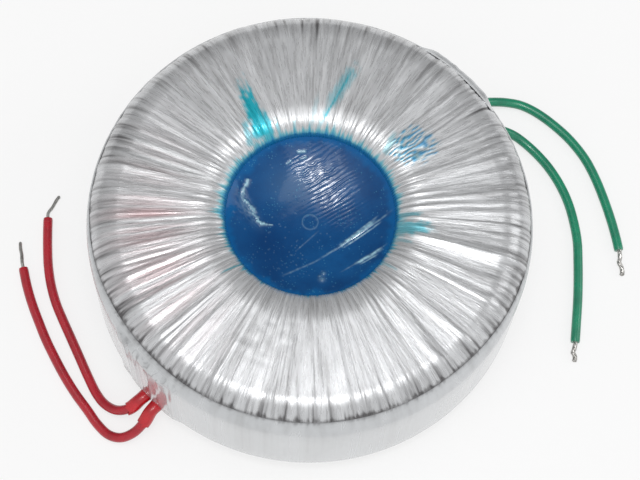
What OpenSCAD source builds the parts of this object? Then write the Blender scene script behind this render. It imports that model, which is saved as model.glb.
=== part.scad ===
// Toroidal transformer: a wound steel ring with two windings, wrapped in pleated
// clear film, with a resin-filled centre and four flexible leads.
// Built outward from the core, layer by layer. +Z is up, and the origin is on the
// axis, at the mouth of the threaded insert in the flat underside of the resin.

/* [Core] */
// Inner diameter of the wound strip-steel ring
core_id = 59.4; // [58:0.2:64]
// Outer diameter of the wound strip-steel ring
core_od = 107.2; // [104:0.2:112]
// Height of the ring, the width of its strip
core_h = 31; // [28:0.5:36]
// Radius on the ring's edges
core_edge = 1; // [0.6:0.1:1.4]
// Thickness of the tape over the bare core
core_tape_t = 0.4; // [0.3:0.05:0.6]

/* [Windings] */
// Build of the primary winding in the hole, where its turns crowd
primary_in_t = 2.8; // [2.4:0.1:3.2]
// Build of the primary winding outside the ring
primary_out_t = 2.2; // [1.8:0.1:2.6]
// Build of the primary winding on the two faces
primary_face_t = 2.4; // [2:0.1:2.8]
// Thickness of the tape between the two windings
middle_tape_t = 0.3; // [0.2:0.05:0.5]
// Build of the secondary winding in the hole
secondary_in_t = 2.6; // [2.2:0.1:3]
// Build of the secondary winding outside the ring
secondary_out_t = 2; // [1.6:0.1:2.4]
// Build of the secondary winding on the two faces
secondary_face_t = 2.3; // [2:0.1:2.7]
// Growth of a layer's outer edge radius for each millimetre wound on
outer_rounding = 1.35; // [1.2:0.05:1.5]
// Growth of a layer's radius at the hole for each millimetre wound on
inner_rounding = 0.8; // [0.6:0.05:1]

/* [Film] */
// Thickness of the film wrap in its valleys
film_t = 1; // [0.9:0.1:1.4]
// Greatest height of a pleat above the valleys
pleat_h = 0.6; // [0.3:0.1:0.9]
// Number of pleats round the ring
pleat_count = 72; // [48:1:90]
// Fall of the film's face from the hole to the outer shoulder
crown_fall = 0.4; // [0:0.1:0.5]
// Width of the rounded shoulder round the hole
shoulder_w = 8.5; // [7.5:0.5:10]
// Height of the rounded shoulder round the hole
shoulder_h = 4.2; // [3.6:0.2:5]
// Thickness of the film band round the side wall
band_t = 0.5; // [0.3:0.1:0.8]
// Angle up the outer edge at which the band stops, where the pleats are tucked in
band_edge_a = 42; // [38:1:44]

/* [Patches over the lead exits] */
// Thickness of the film patch over the red leads
red_patch_t = 0.6; // [0.3:0.1:1]
// Direction of the middle of the red patch
red_patch_a = -133; // [-136:1:-130]
// Angle that the red patch spans
red_patch_span = 28; // [22:1:36]
// Thickness of the film patch over the green leads
green_patch_t = 1.4; // [0.6:0.1:1.8]
// Direction of the middle of the green patch
green_patch_a = 50; // [48:1:53]
// Angle that the green patch spans
green_patch_span = 28; // [24:1:36]
// Angle up and down the outer edge at which both patches stop
patch_edge_a = 36; // [34:1:37]

/* [Resin centre] */
// Depth of the dish in the resin's top
dish_depth = 5.2; // [3:0.2:7]
// Diameter of the brass insert
insert_d = 10; // [9:0.5:12]
// Length of the brass insert
insert_l = 22; // [20:0.5:26]
// Diameter of the threaded hole, as bored for M6
thread_d = 5; // [4.2:0.1:6.8]
// Depth of the threaded hole
thread_l = 18; // [12:0.5:18.5]
// Depth of the insert's two holding grooves
groove_depth = 0.6; // [0.3:0.1:0.9]
// Width of the insert's two holding grooves
groove_w = 2; // [1:0.25:3]

/* [Leads] */
// Diameter of a lead over its insulation
lead_d = 2.7; // [2.4:0.1:3]
// Wall of the sleeve on a lead where it leaves the film
sleeve_t = 0.5; // [0.3:0.05:0.7]
// Diameter of the bare red-lead ends, solid and tinned
red_bare_d = 1; // [0.8:0.1:1.2]
// Diameter of the bare green-lead ends, twisted and tinned strands
green_bare_d = 1.4; // [1.2:0.1:1.6]
// Length of a lead's end in the direction of its insulation before it bends away
bare_straight = 1.5; // [1:0.25:2.5]

/* [Hidden] */
$fn = 96;

// Build of the layers outside the core, added up: at the hole, outside and on a face
primary_in = core_tape_t + primary_in_t;
primary_out = core_tape_t + primary_out_t;
primary_face = core_tape_t + primary_face_t;
middle_in = primary_in + middle_tape_t;
middle_out = primary_out + middle_tape_t;
middle_face = primary_face + middle_tape_t;
secondary_in = middle_in + secondary_in_t;
secondary_out = middle_out + secondary_out_t;
secondary_face = middle_face + secondary_face_t;

hole_r = core_id / 2 - secondary_in - film_t;
wall_r = core_od / 2 + secondary_out + film_t;
outer_r = wall_r + band_t;
half_h = core_h / 2 + secondary_face + film_t + pleat_h;

// The film's outer edge, an arc from its face down to its side wall
edge_r = core_edge + outer_rounding * (secondary_out + film_t);
edge_centre_r = wall_r - edge_r;
edge_centre_z = half_h - pleat_h - crown_fall - edge_r;
tuck_a = 5; // how far above the band the pleats are still full
wall_angles = [0, 21, band_edge_a];
face_angles = [band_edge_a + tuck_a, 66, 90];

// The film's rounded shoulder at the hole, where the resin's edge lies
shoulder_r = hole_r + shoulder_w;
shoulder_z = half_h - pleat_h - shoulder_h;
resin_edge_z = half_h + shoulder_z;
resin_dish_power = 2.4;

sleeve_r = lead_d / 2 + sleeve_t;
bore_overrun = 1;
lead_sides = 8;

// ---------- Layers wound on the core ----------

function arc(r, z, radius, a1, a2, steps = 6) =
    [for (i = [0:steps]) let (a = a1 + (a2 - a1) * i / steps) [r + radius * cos(a), z + radius * sin(a)]];

// Section of the core with its layers, given what is wound on at the hole, outside and on a face
function wound_section(in, out, face) =
    let (r1 = core_id / 2 - in, r2 = core_od / 2 + out, h = core_h / 2 + face,
         f1 = core_edge + inner_rounding * in, f2 = core_edge + outer_rounding * out)
    concat(arc(r2 - f2, h - f2, f2, 0, 90), arc(r1 + f1, h - f1, f1, 90, 180),
           arc(r1 + f1, f1 - h, f1, 180, 270), arc(r2 - f2, f2 - h, f2, 270, 360));

module wound_solid(in, out, face) {
    translate([0, 0, half_h]) rotate_extrude() polygon(wound_section(in, out, face));
}

module core() {
    color("dimgray") wound_solid(0, 0, 0);
}

module core_tape() {
    color("khaki") difference() {
        wound_solid(core_tape_t, core_tape_t, core_tape_t);
        wound_solid(0, 0, 0);
    }
}

module primary_winding() {
    color("peru") difference() {
        wound_solid(primary_in, primary_out, primary_face);
        wound_solid(core_tape_t, core_tape_t, core_tape_t);
    }
}

module middle_tape() {
    color("khaki") difference() {
        wound_solid(middle_in, middle_out, middle_face);
        wound_solid(primary_in, primary_out, primary_face);
    }
}

module secondary_winding() {
    color("chocolate") difference() {
        wound_solid(secondary_in, secondary_out, secondary_face);
        wound_solid(middle_in, middle_out, middle_face);
    }
}

// ---------- Pleated film ----------

// Half of the film's section from the hole to the side wall: [radius, height above the
// middle plane, share of the pleat's height, direction in which the pleat rises]
film_half = concat(
    [[hole_r - bore_overrun, shoulder_z, 0, 180]],
    [for (a = [150, 120]) [shoulder_r + shoulder_w * cos(a), shoulder_z + shoulder_h * sin(a),
                           (180 - a) / 120, a]],
    [[shoulder_r, shoulder_z + shoulder_h, 1, 90]],
    [[(shoulder_r + edge_centre_r) / 2, half_h - pleat_h - crown_fall / 3, 1, 90]],
    [for (i = [2, 1, 0]) edge_point(face_angles[i], i == 0 ? 0.8 : 1)],
    [for (i = [2, 1, 0]) edge_point(wall_angles[i], 0)]);

function edge_point(a, share) =
    [edge_centre_r + edge_r * cos(a), edge_centre_z + edge_r * sin(a), share, a];

last_half = len(film_half) - 1;
film_loop = concat(film_half, [for (i = [last_half:-1:0]) let (p = film_half[i]) [p[0], -p[1], p[2], -p[3]]]);

// Each pleat leans: its ridge lies nearer to one side of it, and no two are alike
pleat_lean = rands(0.25, 0.45, pleat_count, 11);
pleat_place = rands(-0.12, 0.12, pleat_count, 12);
top_heights = rands(0.3, 1, pleat_count, 13);
base_heights = rands(0.3, 1, pleat_count, 14);

function pleat_angle(k, ridge) =
    (k + pleat_place[k] + (ridge ? pleat_lean[k] : 0)) * 360 / pleat_count;

function film_point(p, angle, rise) =
    let (r = p[0] + rise * p[2] * cos(p[3]), z = p[1] + rise * p[2] * sin(p[3]))
    [r * cos(angle), r * sin(angle), z];

film_points = [
    for (k = [0:pleat_count - 1], ridge = [false, true], p = film_loop)
        film_point(p, pleat_angle(k, ridge),
                   ridge ? pleat_h * (p[1] > 0 ? top_heights[k] : base_heights[k]) : 0)];

// Faces between neighbouring closed loops of n points, the last joined to the first
function band_faces(loops, n) = [
    for (k = [0:loops - 1], i = [0:n - 1])
        let (a = k * n + i, b = k * n + (i + 1) % n,
             c = (k + 1) % loops * n + (i + 1) % n, d = (k + 1) % loops * n + i)
        each [[a, d, c], [a, c, b]]];

module film_wrap() {
    color("gainsboro") difference() {
        translate([0, 0, half_h])
            polyhedron(film_points, band_faces(2 * pleat_count, len(film_loop)));
        wound_solid(secondary_in, secondary_out, secondary_face);
        translate([0, 0, -bore_overrun]) cylinder(r = hole_r, h = 2 * half_h + 2 * bore_overrun);
        exit_bores();
    }
}

// A strip of film on the side wall, from depth t1 to depth t2 outside the pleated film
function wall_line(t) = [
    for (s = [-1, 1], i = s < 0 ? [2, 1, 0] : [0, 1, 2])
        [edge_centre_r + (edge_r + t) * cos(wall_angles[i]),
         s * (edge_centre_z + (edge_r + t) * sin(wall_angles[i]))]];

module wall_strip(t1, t2, span = 360) {
    inner = wall_line(t1);
    outer = wall_line(t2);
    last = len(outer) - 1;
    translate([0, 0, half_h])
        rotate_extrude(angle = span)
            polygon(concat(inner, [for (i = [last:-1:0]) outer[i]]));
}

module film_band() {
    color("silver") difference() {
        wall_strip(0, band_t);
        exit_bores();
    }
}

// A patch keeps within the band: its top and bottom are cut off level
module exit_patch(t, middle, span) {
    z = edge_centre_z + edge_r * sin(patch_edge_a);
    difference() {
        intersection() {
            rotate([0, 0, middle - span / 2]) wall_strip(band_t, band_t + t, span);
            translate([0, 0, half_h - z]) cylinder(r = outer_r + t + bore_overrun, h = 2 * z);
        }
        exit_bores();
    }
}

module red_exit_patch() {
    color("mistyrose") exit_patch(red_patch_t, red_patch_a, red_patch_span);
}

module green_exit_patch() {
    color("lightgray") exit_patch(green_patch_t, green_patch_a, green_patch_span);
}

// ---------- Resin centre and its insert ----------

dish_steps = 8;
dish_line = [for (i = [0:dish_steps]) let (share = i / dish_steps)
    [hole_r * share, resin_edge_z - dish_depth * (1 - pow(share, resin_dish_power))]];

module resin_centre() {
    color("steelblue") difference() {
        rotate_extrude() polygon(concat([[0, 0]], dish_line, [[hole_r, 0]]));
        insert_body();
    }
}

module insert_body() {
    difference() {
        cylinder(d = insert_d, h = insert_l);
        for (share = [0.3, 0.7])
            translate([0, 0, insert_l * share - groove_w / 2]) difference() {
                cylinder(d = insert_d + bore_overrun, h = groove_w);
                cylinder(d = insert_d - 2 * groove_depth, h = groove_w);
            }
    }
}

module threaded_insert() {
    color("goldenrod") difference() {
        insert_body();
        translate([0, 0, -bore_overrun]) cylinder(d = thread_d, h = thread_l + bore_overrun);
    }
}

// ---------- Leads ----------

// Routes of the leads, from inside the film to the end of the insulation, as they lie
// round a body of radius laid_r with a lead of radius laid_lead_r
laid_r = 60;
laid_lead_r = 1.35;
red_route_1 = [
    [-40.1, -42.7, 8.5], [-42.7, -45.5, 8.5], [-45.6, -47.7, 6.6], [-49.2, -48, 4.5],
    [-52.7, -46.2, 2.8], [-55.6, -43, 1.8], [-58.4, -38.4, 1.4], [-61.4, -33, 1.4],
    [-64.4, -27.6, 1.4], [-67.2, -22.6, 1.4], [-69.8, -17.6, 1.4], [-71.8, -12.4, 1.4],
    [-73.2, -7, 1.4], [-74, -2, 1.4], [-74.6, 3, 1.4], [-75, 7.5, 1.4]];
red_route_2 = [
    [-37, -45.5, 8.5], [-39.4, -48.4, 8.5], [-41.4, -51.6, 6.6], [-44, -54, 4.5],
    [-47.4, -55.2, 2.8], [-51, -54.4, 1.8], [-54.4, -51.6, 1.4], [-57.6, -47.8, 1.4],
    [-61.4, -43.4, 1.4], [-65, -38.6, 1.4], [-68.4, -33.4, 1.4], [-71.4, -28.4, 1.4],
    [-74.2, -23, 1.4], [-76.6, -18, 1.4], [-78.6, -13, 1.4], [-80.2, -8, 1.4]];
green_route_1 = [
    [37.7, 44.9, 8.5], [40.1, 47.8, 8.5], [42.8, 50.4, 6.6], [46.4, 52.3, 4.5],
    [50.4, 53.6, 2.8], [54.6, 54.2, 1.8], [59, 53.8, 1.4], [63.6, 51.8, 1.4],
    [68.6, 48.4, 1.4], [73.6, 44, 1.4], [78, 38.6, 1.4], [81.2, 32.8, 1.4],
    [83.8, 26.6, 1.4], [86, 20.4, 1.4], [87.6, 15, 1.4], [88.6, 10.9, 1.4]];
green_route_2 = [
    [43.5, 39.2, 8.5], [46.4, 41.8, 8.5], [49.8, 43.4, 6.6], [53.4, 44, 4.5],
    [57.2, 43.4, 2.8], [60.8, 41.4, 1.8], [64.4, 38.4, 1.4], [67.8, 34.6, 1.4],
    [71, 29.8, 1.4], [73.6, 24.4, 1.4], [75.4, 18.6, 1.4], [76.6, 12.6, 1.4],
    [77, 6.4, 1.4], [77.2, 0, 1.4], [77.2, -6, 1.4], [77, -12, 1.4], [76.8, -17.6, 1.4]];
red_tip_1 = [-72.6, 15];
red_tip_2 = [-82.2, 0.2];
green_tip_1 = [89.6, 3.4];
green_tip_2 = [76.6, -23.2];

// A route moves out with the body's wall, and up with the lead's radius
function laid(route) =
    let (a = atan2(route[0][1], route[0][0]), out = outer_r - laid_r)
    [for (p = route) p + [out * cos(a), out * sin(a), lead_d / 2 - laid_lead_r]];

function unit(v) = v / norm(v);
function end_dir(line) = unit(line[len(line) - 1] - line[len(line) - 2]);

// Direction of a line at its point i, which is start_dir at the first where that is given
function dir_at(line, i, start_dir) =
    i == 0 && !is_undef(start_dir) ? start_dir
    : unit(line[min(i + 1, len(line) - 1)] - line[max(i - 1, 0)]);

function ring_at(centre, dir, r) =
    let (side = unit(cross(dir, [0, 0, 1])), up = cross(side, dir))
    [for (s = [0:lead_sides - 1]) let (a = -360 * (s + 0.5) / lead_sides)
        centre + r * cos(a) * side + r * sin(a) * up];

function rings(line, r, count, start_dir) =
    [for (i = [0:count - 1]) each ring_at(line[i], dir_at(line, i, start_dir), r)];

// Faces round a tube of count rings of n points, without its ends
function tube_sides(count, n) = [
    for (k = [0:count - 2], i = [0:n - 1])
        let (a = k * n + i, b = k * n + (i + 1) % n) each [[a, a + n, b + n], [a, b + n, b]]];

// A solid round cord along a line
module cord(line, r, start_dir) {
    count = len(line);
    last = (count - 1) * lead_sides;
    ends = [[for (i = [0:lead_sides - 1]) i], [for (i = [lead_sides - 1:-1:0]) last + i]];
    polyhedron(rings(line, r, count, start_dir), concat(tube_sides(count, lead_sides), ends));
}

// A sleeve on the first rings of a cord: the same rings, and as many of a larger radius
module sleeve_on(line, count, r1, r2) {
    n = lead_sides;
    far = n * count;
    last = far - n;
    outer = tube_sides(count, n);
    inner = [for (f = outer) [f[2] + far, f[1] + far, f[0] + far]];
    ends = [for (i = [0:n - 1]) let (j = (i + 1) % n)
        each [[i, j, j + far, i + far], [last + j, last + i, last + i + far, last + j + far]]];
    polyhedron(concat(rings(line, r2, count), rings(line, r1, count)), concat(outer, inner, ends));
}

sleeve_rings = 3;

// The ways out through the film, which the sleeves fill
module exit_bores() {
    for (route = [red_route_1, red_route_2, green_route_1, green_route_2]) {
        line = laid(route);
        dir = unit(line[1] - line[0]);
        cord([line[0] - 2 * bore_overrun * dir, line[1]], sleeve_r);
    }
}

module lead_sleeve(route) {
    sleeve_on(laid(route), sleeve_rings, lead_d / 2, sleeve_r);
}

module lead(route) {
    cord(laid(route), lead_d / 2);
}

// The stripped end: straight on for a little, then down to the surface and away to its tip
module bare_end(route, tip, d) {
    line = laid(route);
    end = line[len(line) - 1];
    dir = end_dir(line);
    shift = end - route[len(route) - 1];
    cord([end, end + bare_straight * dir, [tip[0] + shift[0], tip[1] + shift[1], d / 2]], d / 2, dir);
}

module red_sleeve_1() { color("crimson") lead_sleeve(red_route_1); }
module red_sleeve_2() { color("crimson") lead_sleeve(red_route_2); }
module green_sleeve_1() { color("seagreen") lead_sleeve(green_route_1); }
module green_sleeve_2() { color("seagreen") lead_sleeve(green_route_2); }
module red_lead_1() { color("firebrick") lead(red_route_1); }
module red_lead_2() { color("firebrick") lead(red_route_2); }
module green_lead_1() { color("teal") lead(green_route_1); }
module green_lead_2() { color("teal") lead(green_route_2); }
module red_bare_end_1() { color("silver") bare_end(red_route_1, red_tip_1, red_bare_d); }
module red_bare_end_2() { color("silver") bare_end(red_route_2, red_tip_2, red_bare_d); }
module green_bare_end_1() { color("silver") bare_end(green_route_1, green_tip_1, green_bare_d); }
module green_bare_end_2() { color("silver") bare_end(green_route_2, green_tip_2, green_bare_d); }

core();
core_tape();
primary_winding();
middle_tape();
secondary_winding();
film_wrap();
film_band();
red_exit_patch();
green_exit_patch();
resin_centre();
threaded_insert();
red_sleeve_1();
red_sleeve_2();
green_sleeve_1();
green_sleeve_2();
red_lead_1();
red_lead_2();
green_lead_1();
green_lead_2();
red_bare_end_1();
red_bare_end_2();
green_bare_end_1();
green_bare_end_2();
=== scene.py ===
"""Toroidal transformer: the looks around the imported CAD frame.

Lengths are worked out in millimetres, in the CAD's own frame, and turned into metres
where a mesh is made. +Z is up, and the camera looks from -Y and from high above.
"""

import math

import bpy
import numpy as np
from mathutils import Matrix, Vector


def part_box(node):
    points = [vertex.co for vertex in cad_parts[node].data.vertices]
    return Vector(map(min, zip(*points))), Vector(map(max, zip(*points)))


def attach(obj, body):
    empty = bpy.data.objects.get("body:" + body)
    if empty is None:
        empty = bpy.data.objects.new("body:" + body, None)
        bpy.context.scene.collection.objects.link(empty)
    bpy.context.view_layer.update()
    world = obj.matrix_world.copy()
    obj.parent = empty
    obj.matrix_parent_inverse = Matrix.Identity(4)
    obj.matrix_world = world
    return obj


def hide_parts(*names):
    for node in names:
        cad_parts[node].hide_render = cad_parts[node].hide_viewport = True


MM = 0.001

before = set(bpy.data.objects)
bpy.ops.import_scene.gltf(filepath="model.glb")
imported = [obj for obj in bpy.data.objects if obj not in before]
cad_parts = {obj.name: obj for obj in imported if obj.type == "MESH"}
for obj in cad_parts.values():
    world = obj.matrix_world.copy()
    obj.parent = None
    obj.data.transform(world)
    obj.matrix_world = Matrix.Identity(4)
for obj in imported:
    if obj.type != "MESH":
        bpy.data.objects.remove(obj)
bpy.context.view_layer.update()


# ---------- Sizes, from the frame ----------

def highest(name):
    """A CAD node's highest corner, in millimetres."""
    return np.array(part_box(name)[1]) / MM


WALL_R, _, HEIGHT = highest("film_wrap")
HOLE_R, _, RESIN_EDGE_Z = highest("resin_centre")
INSERT_R, _, INSERT_TOP_Z = highest("threaded_insert")
HALF = HEIGHT / 2
SHOULDER_W = 8.5  # the film's rounding into the hole
SHOULDER_H = 4.2
EDGE_R = 9.0  # its rounding at the outer edge
CROWN_FALL = 0.4  # how far its top falls from hole to edge
PLEAT_H = 0.6
PLEAT_PEAK = 1.5  # the pleats' own measure of PLEAT_H
PLEAT_DIP = 0.4
THETA_STEPS = 1120
RIM_R = 57.0  # where the pleats' widths at the rim are measured
FINE_R = 26  # and those at the hole
TICK_COUNT = 640
BAND_EDGE_A = 42  # latitudes on the outer edge, in degrees
PATCH_EDGE_A = 36
STRAIGHT_A = 6  # the latitudes given to the straight wall
BAND_LIFT = 0.42
BAND_THICK = 0.4
DISH_DEPTH = 5.2
DISH_POWER = 2.4
LEAD_R = 1.35
SLEEVE_R = 1.85
SHARP_A = 60
FLOOR_SIZE = 1.5  # in metres, as is the next
FLOOR_DROP = 0.00003
CAMERA_ELEVATION = 70.11
CAMERA_ROLL = 4.3
CAMERA_TARGET = (3.0, 7.7, 0.0)
CAMERA_DISTANCE = 0.569
CAMERA_LENS = 111.66


# ---------- Camera ----------

def make_camera():
    """A long lens that looks down at 70 degrees and is rolled a little."""
    elevation = math.radians(CAMERA_ELEVATION)
    roll = math.radians(CAMERA_ROLL)
    target = Vector(CAMERA_TARGET) * MM
    back = Vector((0, -math.cos(elevation), math.sin(elevation)))
    right = Vector((1, 0, 0))
    up = right.cross(-back)
    side = math.cos(roll) * right + math.sin(roll) * up
    top = math.cos(roll) * up - math.sin(roll) * right
    data = bpy.data.cameras.new("camera")
    data.sensor_width = 36
    data.lens = CAMERA_LENS
    camera = bpy.data.objects.new("camera", data)
    turn = Matrix((side, top, back)).transposed().to_4x4()
    camera.matrix_world = Matrix.Translation(target + CAMERA_DISTANCE * back) @ turn
    bpy.context.scene.collection.objects.link(camera)
    bpy.context.scene.camera = camera


# ---------- Small helpers ----------

def smooth(x, low, high):
    """0 below low, 1 above high, and a smooth rise between them."""
    t = np.clip((x - low) / (high - low), 0, 1)
    return t * t * (3 - 2 * t)


def bell(x):
    return np.exp(-x * x)


def wrapped(angle):
    """An angle difference brought to -pi..pi."""
    return (angle + np.pi) % (2 * np.pi) - np.pi


def waves(u, v, seed, count, low, high):
    """Smooth noise over u and v, of spread 1, from waves between low and high long."""
    random = np.random.default_rng(seed)
    total = np.zeros(np.broadcast(u, v).shape)
    for _ in range(count):
        turn, shift = random.uniform(0, 2 * np.pi, 2)
        along = u * np.cos(turn) + v * np.sin(turn)
        total += np.cos(along * 2 * np.pi / random.uniform(low, high) + shift)
    return total / math.sqrt(count / 2)


def mesh_object(name, points, faces, material):
    """A new object from points in millimetres and faces as a list or an array."""
    mesh = bpy.data.meshes.new(name)
    mesh.from_pydata((np.asarray(points) * MM).tolist(), [], [list(map(int, f)) for f in faces])
    mesh.validate()
    mesh.update()
    mesh.polygons.foreach_set("use_smooth", [True] * len(mesh.polygons))
    mesh.set_sharp_from_angle(angle=math.radians(SHARP_A))
    obj = bpy.data.objects.new(name, mesh)
    bpy.context.scene.collection.objects.link(obj)
    mesh.materials.append(material)
    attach(obj, "root")
    return obj


def add_float(obj, name, values):
    layer = obj.data.attributes.new(name, "FLOAT", "POINT")
    layer.data.foreach_set("value", np.asarray(values, dtype=np.float32).ravel())


def add_vector(obj, name, values):
    layer = obj.data.attributes.new(name, "FLOAT_VECTOR", "POINT")
    layer.data.foreach_set("vector", np.asarray(values, dtype=np.float32).ravel())


def ring_faces(loops, n, start=0, flip=False):
    """Quads between closed loops of n points, the last loop joined to the first."""
    k = np.arange(loops)[:, None]
    i = np.arange(n)[None, :]
    a = k * n + i
    b = k * n + (i + 1) % n
    c = (k + 1) % loops * n + (i + 1) % n
    d = (k + 1) % loops * n + i
    quads = np.stack([a, d, c, b] if not flip else [a, b, c, d], axis=-1).reshape(-1, 4)
    return quads + start


def tube(points, radius, sides, lobes=None):
    """Points and faces of a closed tube along a line. radius gives each ring's radius, and
    lobes, if given, a factor for each ring and side."""
    points = np.asarray(points, dtype=float)
    n = len(points)
    ahead = np.gradient(points, axis=0)
    ahead /= np.linalg.norm(ahead, axis=1)[:, None]
    side = np.cross(ahead, [0, 0, 1])
    side /= np.linalg.norm(side, axis=1)[:, None]
    up = np.cross(side, ahead)
    angle = np.arange(sides) * 2 * np.pi / sides
    r = np.broadcast_to(np.asarray(radius, dtype=float), (n,))[:, None]
    r = r * (np.ones((n, sides)) if lobes is None else lobes)
    ring = (points[:, None, :] + (r * np.cos(angle))[..., None] * side[:, None, :]
            + (r * np.sin(angle))[..., None] * up[:, None, :])
    faces = []
    for k in range(n - 1):
        for i in range(sides):
            j = (i + 1) % sides
            faces.append((k * sides + j, k * sides + i, (k + 1) * sides + i, (k + 1) * sides + j))
    faces.append(tuple(range(sides)))
    faces.append(tuple((n - 1) * sides + i for i in range(sides))[::-1])
    return ring.reshape(-1, 3), faces


def catmull(points, steps):
    """A smooth curve through all the points."""
    p = np.asarray(points, dtype=float)
    p = np.vstack([2 * p[0] - p[1], p, 2 * p[-1] - p[-2]])
    out = []
    for i in range(1, len(p) - 2):
        for t in np.arange(steps) / steps:
            out.append(0.5 * (2 * p[i] + (p[i + 1] - p[i - 1]) * t
                              + (2 * p[i - 1] - 5 * p[i] + 4 * p[i + 1] - p[i + 2]) * t ** 2
                              + (3 * p[i] - p[i - 1] - 3 * p[i + 1] + p[i + 2]) * t ** 3))
    out.append(p[-2])
    return np.array(out)


# ---------- Materials ----------

class Look:
    """A material with a Principled shader, and short ways to add nodes to it."""

    def __init__(self, name, color, roughness, metallic=0.0, coat=0.0, specular=0.5):
        self.material = bpy.data.materials.new(name)
        self.material.use_nodes = True
        self.tree = self.material.node_tree
        self.shader = self.tree.nodes["Principled BSDF"]
        self.shader.inputs["Base Color"].default_value = (*color, 1)
        self.shader.inputs["Roughness"].default_value = roughness
        self.shader.inputs["Metallic"].default_value = metallic
        self.shader.inputs["Coat Weight"].default_value = coat
        self.shader.inputs["Coat Roughness"].default_value = 0.08
        self.shader.inputs["Specular IOR Level"].default_value = specular

    def node(self, kind, **values):
        made = self.tree.nodes.new(kind)
        for key, value in values.items():
            setattr(made, key, value)
        return made

    def link(self, out, into):
        self.tree.links.new(out, into)

    def place(self):
        return self.node("ShaderNodeTexCoord").outputs["Object"]

    def attribute(self, name, vector=False):
        made = self.node("ShaderNodeAttribute", attribute_name=name)
        return made.outputs["Vector" if vector else "Fac"]

    def noise(self, where, scale, detail=3.0, rough=0.55):
        made = self.node("ShaderNodeTexNoise")
        made.inputs["Scale"].default_value = scale
        made.inputs["Detail"].default_value = detail
        made.inputs["Roughness"].default_value = rough
        self.link(where, made.inputs["Vector"])
        return made.outputs["Fac"]

    def ramp(self, value, *stops):
        """A colour ramp: each stop is a place and a grey or a colour."""
        made = self.node("ShaderNodeValToRGB")
        while len(made.color_ramp.elements) < len(stops):
            made.color_ramp.elements.new(0.5)
        for element, (at, color) in zip(made.color_ramp.elements, stops):
            element.position = at
            color = (color,) * 3 if isinstance(color, (int, float)) else color
            element.color = (*color, 1)
        self.link(value, made.inputs["Fac"])
        return made.outputs["Color"]

    def mix(self, share, first, second, kind="MIX"):
        made = self.node("ShaderNodeMix", data_type="RGBA", blend_type=kind)
        for socket, value in ((0, share), (6, first), (7, second)):
            if isinstance(value, (int, float)):
                made.inputs[socket].default_value = value
            elif isinstance(value, tuple):
                made.inputs[socket].default_value = (*value, 1)
            else:
                self.link(value, made.inputs[socket])
        return made.outputs[2]

    def math(self, kind, first, second):
        made = self.node("ShaderNodeMath", operation=kind)
        for socket, value in ((0, first), (1, second)):
            if isinstance(value, (int, float)):
                made.inputs[socket].default_value = value
            else:
                self.link(value, made.inputs[socket])
        return made.outputs[0]

    def bump(self, height, distance, strength=1.0):
        made = self.node("ShaderNodeBump")
        made.inputs["Strength"].default_value = strength
        made.inputs["Distance"].default_value = distance
        self.link(height, made.inputs["Height"])
        self.link(made.outputs["Normal"], self.shader.inputs["Normal"])

    def color(self, out):
        self.link(out, self.shader.inputs["Base Color"])

    def roughness(self, out):
        self.link(out, self.shader.inputs["Roughness"])


def film_look():
    """Clear glossy film in many layers: pearl grey, with shade painted into the creases and along the rim
    fold, a painted reflection of the red leads, and dye at the hole.
    """
    look = Look("pleated_film", (0.7, 0.7, 0.71), 0.25, metallic=0.5, coat=0.5)
    polar = look.attribute("polar", vector=True)
    streaks = look.noise(polar, 1.0, 4.0, 0.6)
    fine = look.noise(polar, 3.2, 3.0, 0.6)
    tone = look.ramp(streaks, (0.3, (0.5, 0.505, 0.515)), (0.5, (0.62, 0.63, 0.645)),
                     (0.68, (0.72, 0.73, 0.745)))
    tone = look.mix(0.28, tone, look.ramp(fine, (0.35, 0.5), (0.6, 1.0)), "MULTIPLY")
    # painted reflection of the red leads: pink on the top face over their side
    tone = look.mix(look.attribute("red_reflection_and_showthrough"), tone, (0.8, 0.42, 0.43), "MULTIPLY")
    # painted shade: darker in the pleats' creases and along the fold over the rim
    tone = look.mix(look.attribute("crease_shade"), tone, (0.05, 0.046, 0.048))
    tone = look.mix(look.attribute("dye"), tone, (0.0, 0.4, 0.5))
    tone = look.mix(look.attribute("ink"), tone, (0.0, 0.21, 0.5))
    look.color(tone)
    look.roughness(look.ramp(fine, (0.3, 0.2), (0.7, 0.4)))
    look.bump(look.math("ADD", streaks, look.math("MULTIPLY", fine, 0.35)), 0.0004, 0.45)
    return look.material


def band_look(name, contrast, metallic):
    """The film band and patches on the side wall: smoother, with faint upright creases, shade painted
    along the band's top edge and the patches' folds, and pink where a red sleeve shows through a patch.
    """
    look = Look(name, (0.68, 0.7, 0.71), 0.22, metallic=metallic, coat=0.5)
    polar = look.attribute("polar", vector=True)
    creases = look.noise(polar, 0.8, 3.0, 0.5)
    cloud = look.noise(look.place(), 60.0, 3.0, 0.5)
    tone = look.ramp(creases, (0.3, (0.56 - contrast, 0.57 - contrast, 0.58 - contrast)),
                     (0.5, (0.57, 0.585, 0.6)), (0.7, (0.62, 0.635, 0.65)))
    tone = look.mix(0.3, tone, look.ramp(cloud, (0.3, 0.75), (0.7, 1.0)), "MULTIPLY")
    # painted shade along the band's top edge and the patches' fold lines
    tone = look.mix(look.attribute("crease_shade"), tone, (0.06, 0.055, 0.058))
    # pink where a red sleeve shows through a patch's film; none on the band
    tone = look.mix(look.attribute("red_reflection_and_showthrough"), tone, (0.85, 0.2, 0.24), "MULTIPLY")
    look.color(tone)
    look.roughness(look.ramp(creases, (0.3, 0.15), (0.7, 0.3)))
    look.bump(creases, 0.0003, 0.35)
    return look.material


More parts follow.
